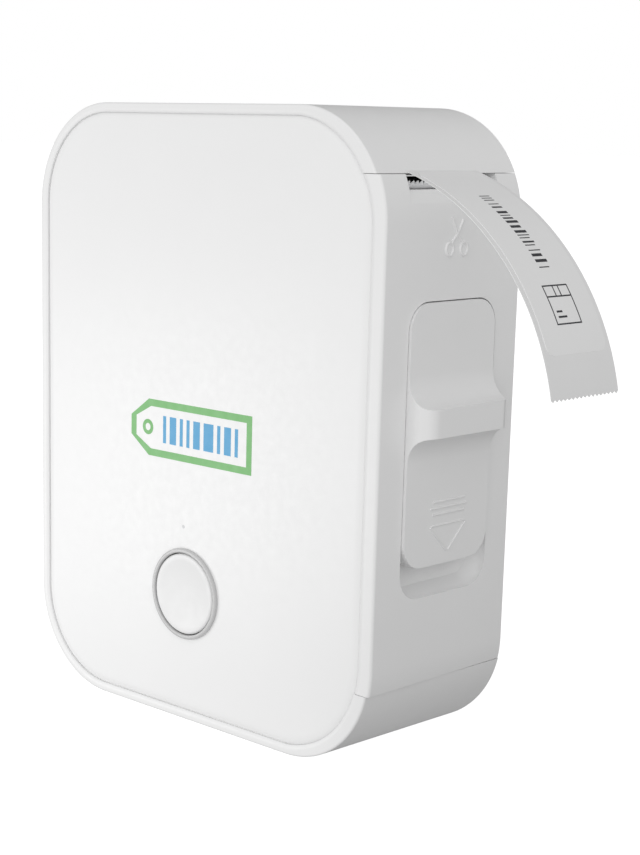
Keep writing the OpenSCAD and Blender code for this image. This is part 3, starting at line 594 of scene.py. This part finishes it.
def build_side_panel():
    r = CORNER_R + SIDE_PROUD
    cx = RIGHT_X - CORNER_R
    high, low = TOP_Z - CORNER_R, CORNER_R
    z0, z1 = SEAM_BOTTOM - 2, SEAM_TOP + 2

    def outer_x(z):
        dz = z - high if z > high else low - z if z < low else 0
        return cx + math.sqrt(r * r - dz * dz)

    steps = 14
    zs = ([z0 + (low - z0) * i / steps for i in range(steps)] + [low, (low + high) / 2]
          + [high + (z1 - high) * i / (2 * steps) for i in range(2 * steps + 1)])
    rings = []
    for z in zs:
        x = outer_x(z)
        dz = z - high if z > high else z - low if z < low else 0
        n = Vector((-(x - cx), -dz)).normalized() if dz else Vector((-1, 0))
        inner = crossing(cavity_loop, (x, z), n)
        lip = crossing(lip_loop, (x, z), n)
        rings.append(side_section(Vector((x, z)), n, inner, lip))
    shell = loft("side_shell", rings)
    around_pocket = rounded_loop(latch_lo.y - 1.5, 25.3, latch_hi.y + 1.5, latch_hi.z + 1.8, 5, 12)
    backing = prism("backing", around_pocket, "x", POCKET_FLOOR_X - 1.2, RIGHT_X - 0.4)
    ledge = rounded_loop(-3, 34, 3, 35.5, 0.3, 4)
    shelf = prism("shelf", ledge, "x", POCKET_FLOOR_X - 4.5, POCKET_FLOOR_X - 1)
    shell = carve(shell, [backing, shelf], "UNION")
    stem = prism("stem", rounded_loop(-2.2, 42.7, 2.2, 56.3, 0.4, 4), "x", 30, RIGHT_X + 1)
    below = seam_block("below", 0, SEAM_BOTTOM)
    above = seam_block("above", SEAM_TOP, TOP_Z + 1)
    shell = carve(shell, [pocket_cutter(), slot_cutter(), scoop_cutter(outer_x), stem, below, above])
    to_object("side_panel_shell", shell, "printer", "white_shell", replaces=["side_panel"], sharp=28)


def side_section(out, inward, inner, lip):
    """Wall section of the side panel: the proud outer skin, its rim and the bevel down to the front panel."""
    edge = 0.3
    width = (inner - out).length
    lip_in = (lip - out).length
    section = [(width, REAR_Y)]
    for i in range(5):
        a = math.radians(90 - 90 * i / 4)
        section.append((edge * (1 - math.cos(a)), REAR_Y - edge * (1 - math.sin(a))))
    front = 0.5
    for i in range(6):
        a = math.radians(90 * i / 5)
        section.append((front * (1 - math.cos(a)), FRONT_Y + front * (1 - math.sin(a))))
    section += soft_lip(lip_in, min(1.1, 0.5 * lip_in), 0.42)
    section += [(lip_in, PANEL_BACK), (width, PANEL_BACK)]
    return [(out.x + inward.x * d, y, out.y + inward.y * d) for d, y in section]


def pocket_cutter():
    """The pocket that the latch slides in: soft where its right wall meets its floor, and at its foot
    a ramp that fades into the panel."""
    y0, y1 = latch_lo.y - 0.1, latch_hi.y + 0.6
    z1 = latch_hi.z + 0.16
    depth = SIDE_X - POCKET_FLOOR_X
    loops = []
    steps = 14
    for i in range(steps + 1):
        t = i / steps
        right = y1 - 1.4 * (1 - math.sin(math.pi / 2 * min(1, t * 1.05)))
        left = y0 + 0.5 * (1 - min(1, 4 * t))
        low = POCKET_FOOT_Z + 1.5 * (1 - t) ** 1.6
        outline = rounded_loop(left, low, right, z1, 4.2 - 1.2 * (1 - t), 14)
        loops.append([(POCKET_FLOOR_X + depth * t, u, v) for u, v in outline])
    loops.append([(x + 2, u, v) for x, u, v in loops[-1]])
    return loft("pocket", loops)


def slot_cutter():
    """The opening that the label comes out of, up to the seam above it."""
    return prism("slot", [(33, SLOT_Y0), (42, SLOT_Y0), (42, SLOT_Y1), (33, SLOT_Y1)], "z", SLOT_Z, 92)


def scoop_cutter(outer_x):
    """The shallow dip below the slot, deepest at the slot, with an upright step at each end."""
    rings = []
    for i in range(7):
        t = i / 6
        z = SLOT_Z - 1.9 + 2.0 * t
        x = outer_x(z) - 0.6 * t ** 1.2 + 0.004
        y0 = SLOT_Y0 - 0.06
        rings.append([(x, y0, z), (x, SLOT_Y1, z), (x + 3, SLOT_Y1, z), (x + 3, y0, z)])
    return loft("scoop", rings)


def latch_profile():
    """Side view of the latch in X and Z: plate, thumb ridge between two hollows, plate."""
    base = LATCH_BASE_X
    skin = SIDE_X + LATCH_LIFT
    lower = skin + LATCH_STEP
    crest = latch_hi.x
    ridge0, ridge1 = 51.2, 55.4
    points = [(base, latch_lo.z), (lower, latch_lo.z), (lower, 47.2)]
    points += [(lower + (crest - lower) * (1 - math.cos(math.radians(a))),
                47.2 + (ridge0 - 47.2) * math.sin(math.radians(a))) for a in range(10, 90, 10)]
    points += [(crest, ridge0), (crest, ridge1)]
    points += [(crest - (crest - skin) * math.sin(math.radians(a)),
                ridge1 + 4.6 * (1 - math.cos(math.radians(a)))) for a in range(10, 90, 10)]
    points += [(skin, ridge1 + 4.6), (skin, latch_hi.z), (base, latch_hi.z)]
    return points


def build_latch():
    y0, y1, z0, z1 = latch_lo.y, latch_hi.y, latch_lo.z, latch_hi.z
    body = prism("latch_body", latch_profile(), "y", y0, y1)
    face = prism("latch_face", rounded_loop(y0, z0, y1, z1, 4, 10), "x", 30, 50)
    crest = latch_hi.x
    r = 3.0
    plan = ([(30, y0), (crest - r, y0)] + arc(crest - r, y0 + r, r, -90, 0, 8)[1:]
            + arc(crest - r * 0.6, y1 - r * 0.6, r * 0.6, 0, 90, 6) + [(30, y1)])
    ends = prism("latch_plan", plan, "z", 0, 100)
    body = carve(body, [face, ends], "INTERSECT")
    body = soften(body, 0.16, 3, 33)
    to_object("latch_cap", body, "latch", "latch_white", replaces=["slide_latch"], sharp=40)


def build_button():
    x, z = (button_lo.x + button_hi.x) / 2, (button_lo.z + button_hi.z) / 2
    r = (button_hi.x - button_lo.x) / 2
    y = button_lo.y
    dish = 0.35
    profile = [(0.001, y + dish)]
    for i in range(1, 9):
        t = i / 8 * (r - 0.4)
        profile.append((t, y + dish * (1 - (t / (r - 0.4)) ** 2)))
    for i in range(1, 6):
        a = math.radians(90 * i / 5)
        profile.append((r - 0.4 + 0.4 * math.sin(a), y + 0.4 * (1 - math.cos(a))))
    profile += [(r, y + 1.2), (1.6, y + 1.2), (1.6, button_hi.y), (0.001, button_hi.y)]
    to_object("button_disc", lathe_y("button_disc", profile, x, z, 128), "button", "button_grey",
              replaces=["power_button"])
    outer = (ring_hi.x - ring_lo.x) / 2
    inner = r + 0.15
    y = ring_lo.y
    ring = [(inner, PANEL_BACK), (inner, y + 0.25)]
    for i in range(1, 6):
        a = math.radians(90 * i / 5)
        ring.append((inner + 0.22 * (1 - math.cos(a)), y + 0.25 - 0.2 * math.sin(a)))
    for i in range(0, 6):
        a = math.radians(90 * i / 5)
        ring.append((outer - 0.3 + 0.3 * math.sin(a), y + 0.05 + 0.25 * (1 - math.cos(a))))
    ring += [(outer, PANEL_BACK)]
    to_object("button_bezel", lathe_y("button_bezel", ring, x, z, 128), "printer", "ring_grey",
              replaces=["button_ring"])


# ---------------------------------------------------------------- label strip
STRIP_R = 39.0
STRIP_A1, LABEL_A0, LABEL_A1 = 79.1, 18.0, 69.9


def strip_centre():
    """Centre of the strip's bend, from the liner's two extreme corners."""
    a1 = math.radians(STRIP_A1)
    cx = liner_hi.x - STRIP_R * math.sin(a1)
    cz = liner_lo.z - (STRIP_R - 0.1) * math.cos(a1)
    return cx, cz


def on_strip(angle, y, lift):
    """A point on the strip: an angle from the vertical, a place across, and a height over its outer face."""
    cx, cz = strip_centre()
    a = math.radians(angle)
    return (cx + (STRIP_R + lift) * math.sin(a), y, cz + (STRIP_R + lift) * math.cos(a))


def strip_slab(name, loop, low, high, step=0.8):
    """A flat outline of (mm along the strip, Y), laid on the bend as a thin slab, cut to follow it."""
    bm = bmesh.new()
    verts = [bm.verts.new((u, v, 0)) for u, v in loop]
    bm.faces.new(verts)
    us = [u for u, v in loop]
    u = math.floor(min(us) / step) * step + step
    while u < max(us) - 1e-6:
        bmesh.ops.bisect_plane(bm, geom=bm.verts[:] + bm.edges[:] + bm.faces[:], plane_co=(u, 0, 0),
                               plane_no=(1, 0, 0))
        u += step
    bmesh.ops.recalc_face_normals(bm, faces=bm.faces)
    top = bmesh.ops.extrude_face_region(bm, geom=bm.faces[:])
    lifted = {v for v in top["geom"] if isinstance(v, bmesh.types.BMVert)}
    for v in bm.verts:
        angle = STRIP_A1 - math.degrees(v.co.x / STRIP_R)
        p = on_strip(angle, v.co.y, high if v in lifted else low)
        v.co = Vector(p) * MM
    bmesh.ops.recalc_face_normals(bm, faces=bm.faces)
    mesh = bpy.data.meshes.new(name)
    bm.to_mesh(mesh)
    bm.free()
    return mesh


def build_strip():
    """Lengths along the strip are measured from its torn end."""
    y0, y1 = liner_lo.y, liner_hi.y
    cx, cz = strip_centre()
    first = math.degrees(math.asin((liner_lo.x - cx) / STRIP_R))
    length = math.radians(STRIP_A1 - first) * STRIP_R
    teeth = 17
    rng = random.Random(7)
    torn = []
    for i in range(teeth):
        pitch = (y1 - y0) / teeth
        torn.append((0.42 + rng.uniform(-0.05, 0.05), y0 + pitch * i + 0.04))
        torn.append((0.05 + rng.uniform(0, 0.06), y0 + pitch * (i + 0.5)))
    torn.append((0.42, y1))
    outline = torn + [(length, y1), (length, y0)]
    liner = strip_slab("liner_strip", outline, -0.1, 0.0)
    to_object("liner_strip", liner, "printer", "liner_paper", replaces=["label_liner"], sharp=40)
    l0 = math.radians(STRIP_A1 - LABEL_A1) * STRIP_R
    l1 = math.radians(STRIP_A1 - LABEL_A0) * STRIP_R
    label = rounded_loop(l0, label_lo.y, l1, label_hi.y, 1.6, 10)
    sticker = strip_slab("label_sticker", label, 0.0, 0.08)
    to_object("label_sticker", sticker, "printer", "label_paper", replaces=["printed_label"], sharp=40)
    for name in ("liner_strip", "label_sticker"):
        bpy.data.objects[name].visible_diffuse = False
        bpy.data.objects[name].visible_shadow = False
    build_label_print(l0)


def build_label_print(start):
    """Generic print on the label: a row of thin bars, and a small parcel in outline."""
    rng = random.Random(21)
    middle = (label_lo.y + label_hi.y) / 2
    parts = []

    def patch(u0, v0, u1, v1):
        parts.append(strip_slab("patch", [(u0, v0), (u1, v0), (u1, v1), (u0, v1)], 0.08, 0.088))

    at = start + 13.0
    while at < start + 27.5:
        thick = rng.choice((0.18, 0.18, 0.32, 0.5))
        tall = rng.choice((1.15, 1.15, 1.5))
        patch(at, middle - 1.15, at + thick, middle + tall)
        at += thick + rng.choice((0.35, 0.5, 0.75))
    line = 0.22
    u0, u1, v0, v1 = start + 4.2, start + 10.2, middle - 2.9, middle + 2.9
    patch(u0, v0, u0 + line, v1)
    patch(u1 - line, v0, u1, v1)
    patch(u0 + line, v0, u1 - line, v0 + line)
    patch(u0 + line, v1 - line, u1 - line, v1)
    patch(u0 + 4.1, v0 + line, u0 + 4.1 + line, v1 - line)
    patch(u0 + 4.1 + line, middle - 0.7, u1 - line, middle - 0.7 + line)
    patch(u0 + 4.1 + line, middle + 0.5, u1 - line, middle + 0.5 + line)
    patch(u0 + 1.0, v0 + 0.9, u0 + 1.3, v0 + 2.9)
    patch(u0 + 1.8, v0 + 0.9, u0 + 2.1, v0 + 2.2)
    to_object("label_print", combined("label_print", parts), "printer", "label_paper", "ink_black")


def build_cutter():
    """Toothed tear-off blade that leans out in the slot, under the tape."""
    pitch = 0.95
    teeth = int((SLOT_Y1 - SLOT_Y0 - 0.6) / pitch)
    start = (SLOT_Y0 + SLOT_Y1 - teeth * pitch) / 2
    foot, lean = Vector((35.0, SLOT_Z + 0.03)), Vector((0.62, 0.78))
    side = Vector((-lean.y, lean.x)) * 0.22
    outline = [(0.0, start)]
    for i in range(teeth):
        outline += [(0.72, start + pitch * i), (1.45, start + pitch * (i + 0.5))]
    outline += [(0.72, start + pitch * teeth), (0.0, start + pitch * teeth)]
    rings = []
    for off in (Vector((0, 0)), side):
        rings.append([(foot.x + lean.x * u + off.x, v, foot.y + lean.y * u + off.y) for u, v in outline])
    # The blade's finish paints its highlight into its colour: a near-white base colour on steel that sits in
    # the slot's shade.
    to_object("toothed_blade", loft("toothed_blade", rings), "printer", "steel", "blade_painted_glint",
              ["cutter_blade"])


# ---------------------------------------------------------------- marks on the case
def stroke_y(name, loops):
    """A thin layer of print on the front panel."""
    return plate_y(name, loops, PANEL_Y - 0.02, PANEL_Y + 0.02, 0.004)


def build_front_mark():
    """Generic sign on the front: the outline of a tag with a hole, and bars inside it."""
    x0, x1, z0, z1 = -15.2, 12.4, 42.4, 51.6
    slope = 4.2

    def tag(inset):
        i = inset
        shoulder, tip = x0 + slope + i * 0.45, x0 + i * 1.05
        return [(shoulder, z0 + i), (x1 - i, z0 + i), (x1 - i, z1 - i), (shoulder, z1 - i),
                (tip, (z0 + z1) / 2 + 1.6), (tip, (z0 + z1) / 2 - 1.6)]

    green = [stroke_y("tag", [tag(0), tag(1.15)]),
             stroke_y("hole", [circle_loop(x0 + 4.0, (z0 + z1) / 2, 1.25, 32),
                               circle_loop(x0 + 4.0, (z0 + z1) / 2, 0.6, 32)])]
    to_object("front_mark_tag", combined("front_mark_tag", green), "printer", "front_white", "ink_green")
    bars = []
    at = x0 + 7.6
    for width in (0.7, 1.5, 0.7, 0.7, 1.5, 2.2, 0.7, 1.5, 0.7):
        bars.append(stroke_y("bar", [[(at, z0 + 2.4), (at + width, z0 + 2.4), (at + width, z1 - 2.4),
                                      (at, z1 - 2.4)]]))
        at += width + 0.85
    to_object("front_mark_bars", combined("front_mark_bars", bars), "printer", "front_white", "ink_blue")


def tube(name, path, radius, sides=10, closed=False):
    """A round bar along a path, in mm."""
    points = [Vector(p) for p in path]
    n = len(points)
    rings = []
    for i, p in enumerate(points):
        if closed:
            d = points[(i + 1) % n] - points[i - 1]
        else:
            d = points[min(i + 1, n - 1)] - points[max(i - 1, 0)]
        d.normalize()
        u = d.cross(Vector((1, 0, 0))).normalized()
        v = d.cross(u)
        rings.append([tuple(p + radius * (math.cos(2 * math.pi * k / sides) * u
                                          + math.sin(2 * math.pi * k / sides) * v)) for k in range(sides)])
    if closed:
        rings.append(rings[0])
    return loft(name, rings, not closed)


def build_side_marks():
    """Raised scissors below the slot, and an arrow and grip bars on the latch."""
    x = SIDE_X
    ring_r = 0.95
    parts = []
    for cy, cz, tip in ((-1.4, 77.9, (1.5, 82.1)), (1.9, 77.9, (-1.1, 82.4))):
        turns = [2 * math.pi * i / 24 for i in range(24)]
        loop = [(x, cy + ring_r * 0.85 * math.cos(a), cz + ring_r * math.sin(a)) for a in turns]
        parts.append(tube("finger_ring", loop, STROKE_R, 8, True))
        top = (x, cy + (0.35 if cy < 0 else -0.35), cz + ring_r * 0.9)
        pivot = (x, 0.25, 80.0)
        end = (x + 0.02, tip[0], tip[1])
        parts.append(tube("blade", [top, pivot, end], STROKE_R, 8))
    to_object("scissors_mark", combined("scissors_mark", parts), "printer", "white_shell")
    x = SIDE_X + LATCH_LIFT + LATCH_STEP
    tri = [(x, -4.2, 37.2), (x, 4.6, 37.2), (x, 0.2, 32.9)]
    loop = []
    for i in range(3):
        a, b = Vector(tri[i]), Vector(tri[(i + 1) % 3])
        for k in range(8):
            loop.append(tuple(a.lerp(b, (k + 0.5) / 8)))
    marks = [tube("arrow", loop, 0.16, 8, True)]
    for i in range(3):
        z = 38.9 + 0.95 * i
        half = 4.2 - 0.5 * abs(i - 1)
        marks.append(tube("grip", [(x, 0.2 - half, z), (x, 0.2 + half, z)], 0.2, 8))
    to_object("latch_marks", combined("latch_marks", marks), "latch", "latch_white")


# ---------------------------------------------------------------- camera, light, stage
def build_camera():
    """A camera at the height of the object's top, 44 degrees round to the right, looking slightly down."""
    azimuth, elevation, roll = (math.radians(a) for a in (44.364, 12.010, 1.1615))
    back = Vector((math.sin(azimuth) * math.cos(elevation), -math.cos(azimuth) * math.cos(elevation),
                   math.sin(elevation)))
    right = Vector((math.cos(azimuth), math.sin(azimuth), 0))
    up = back.cross(right)
    turned = math.cos(roll) * right + math.sin(roll) * up
    over = -math.sin(roll) * right + math.cos(roll) * up
    camera = bpy.data.cameras.new("camera")
    camera.lens = 76.34
    camera.sensor_width = 36
    camera.shift_x = 0.0715
    camera.shift_y = 0.0974
    camera.clip_start = 0.01
    camera.clip_end = 50
    obj = bpy.data.objects.new("camera", camera)
    scene.collection.objects.link(obj)
    obj.matrix_world = Matrix.Translation(Vector((203.80, -209.27, 94.94)) * MM) @ Matrix(
        (turned, over, back)).transposed().to_4x4()
    scene.camera = obj


def build_world():
    """Soft light from all round, strongest from the front and left; white behind the object."""
    world = bpy.data.worlds.new("studio")
    scene.world = world
    world.use_nodes = True
    nodes, links = world.node_tree.nodes, world.node_tree.links
    background = nodes["Background"]
    direction = nodes.new("ShaderNodeTexCoord").outputs["Generated"]
    dot = nodes.new("ShaderNodeVectorMath")
    dot.operation = "DOT_PRODUCT"
    dot.inputs[1].default_value = (0.26, -0.485, 0.20)
    links.new(direction, dot.inputs[0])
    raised = math_node(nodes, links, "ADD", dot.outputs["Value"], 0.58)
    level = math_node(nodes, links, "MAXIMUM", raised, 0.02)
    camera_ray = nodes.new("ShaderNodeLightPath").outputs["Is Camera Ray"]
    mix = nodes.new("ShaderNodeMix")
    mix.inputs[3].default_value = 1.0
    links.new(camera_ray, mix.inputs[0])
    links.new(level, mix.inputs[2])
    links.new(mix.outputs[0], background.inputs["Strength"])
    background.inputs["Color"].default_value = (1, 1, 1, 1)
    scene.view_settings.view_transform = "Standard"
    scene.view_settings.look = "None"
    lamp = bpy.data.lights.new("low_front_lamp", "AREA")
    lamp.energy = 0.066
    lamp.size = 0.08
    obj = bpy.data.objects.new("low_front_lamp", lamp)
    scene.collection.objects.link(obj)
    obj.location = (-0.13, -0.14, 0.01)
    aim = Vector((0, -0.016, 0.04)) - obj.location
    obj.rotation_euler = aim.to_track_quat("-Z", "Y").to_euler()
    obj.visible_camera = False


def build_stage():
    """A pale floor that the camera sees, and a darker card beside the object that it doesn't."""
    mesh = bpy.data.meshes.new("floor")
    s = 6.0
    mesh.from_pydata([(-s, -s, 0), (s, -s, 0), (s, s, 0), (-s, s, 0)], [], [(0, 1, 2, 3)])
    floor = bpy.data.objects.new("floor", mesh)
    scene.collection.objects.link(floor)
    material, nodes, links, shader = new_material("pale_floor")
    shader.inputs["Base Color"].default_value = (0.25, 0.25, 0.25, 1)
    shader.inputs["Roughness"].default_value = 1.0
    shader.inputs["Specular IOR Level"].default_value = 0.0
    shader.inputs["Emission Color"].default_value = (1, 1, 1, 1)
    shader.inputs["Emission Strength"].default_value = 0.97
    mesh.materials.append(material)
    floor.visible_diffuse = False
    floor.visible_glossy = False
    floor.visible_transmission = False
    floor.visible_shadow = False
    mesh = bpy.data.meshes.new("dark_card")
    x0, x1, y0, y1, z = 0.044, 0.16, -0.05, 0.13, -0.001
    mesh.from_pydata([(x0, y0, z), (x1, y0, z), (x1, y1, z), (x0, y1, z)], [], [(0, 1, 2, 3)])
    card = bpy.data.objects.new("dark_card", mesh)
    scene.collection.objects.link(card)
    material, nodes, links, shader = new_material("dark_card")
    shader.inputs["Base Color"].default_value = (0.03, 0.03, 0.03, 1)
    shader.inputs["Roughness"].default_value = 1.0
    shader.inputs["Emission Color"].default_value = (1, 1, 1, 1)
    shader.inputs["Emission Strength"].default_value = 0.30
    mesh.materials.append(material)
    card.visible_camera = False


def rounded_copy(node, body, width, sharp=35):
    """The CAD part with its edges rounded, in the same place."""
    slot = SLOTS[node]
    mesh = soften(NODES[node].data.copy(), width)
    return to_object(node + "_rounded", mesh, body, slot, replaces=[node], sharp=sharp)


def plain_nodes():
    """Gives each CAD node the procedural finish of its slot."""
    for name, obj in NODES.items():
        material = MATERIALS["roll_paper" if name == "label_roll" else SLOTS[name]]
        obj.data.materials.clear()
        obj.data.materials.append(material)


build_camera()
build_world()
build_stage()
build_housing()
build_front_panel()
build_side_panel()
build_latch()
build_button()
build_strip()
build_cutter()
build_front_mark()
build_side_marks()
for node, body, width in (("rear_cover", "cover", 0.22), ("chassis_plate", "printer", 0.12),
                          ("battery_cradle", "printer", 0.2), ("latch_bar", "latch", 0.15),
                          ("head_heatsink", "head", 0.1), ("tape_guide", "printer", 0.12)):
    rounded_copy(node, body, width)
plain_nodes()
